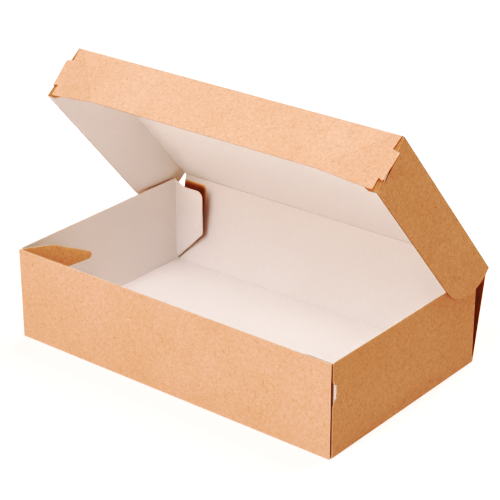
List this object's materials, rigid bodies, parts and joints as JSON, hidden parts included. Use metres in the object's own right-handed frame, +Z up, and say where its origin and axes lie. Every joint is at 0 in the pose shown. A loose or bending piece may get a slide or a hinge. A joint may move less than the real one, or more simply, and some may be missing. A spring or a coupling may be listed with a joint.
{
  "type": "kraft dessert box",
  "caption": "Folded kraft paper dessert box: a shallow open tray with a leaning back wall and a hinged overlapping lid, standing half open.",
  "frame": {"origin": "centre of the tray's underside, on the surface that the box stands on", "axes": "+X along the front wall to the right, +Y to the back wall, +Z up"},
  "size_m": [0.2376, 0.1521, 0.1671],
  "materials": {
    "kraft_board": "matte kraft outside, white coated inside"
  },
  "bodies": {
    "tray": {"tray": "kraft_board"},
    "back_wall": {"back_wall": "kraft_board"},
    "lid": {"lid": "kraft_board"}
  },
  "joints": [
    {"name": "lid_hinge", "type": "hinge", "parent": "back_wall", "child": "lid", "pos_m": [0, 0.08089, 0.05776], "axis": [-1, 0, 0], "range_deg": [-39.5, 60]},
    {"name": "back_fold", "type": "hinge", "parent": "tray", "child": "back_wall", "pos_m": [0, 0.07075, 0.00025], "axis": [-1, 0, 0], "range_deg": [-10, 15.2]}
  ],
  "couplings": [
    {"joint": "back_fold", "follows": "lid_hinge", "ratio": 0.25316}
  ]
}
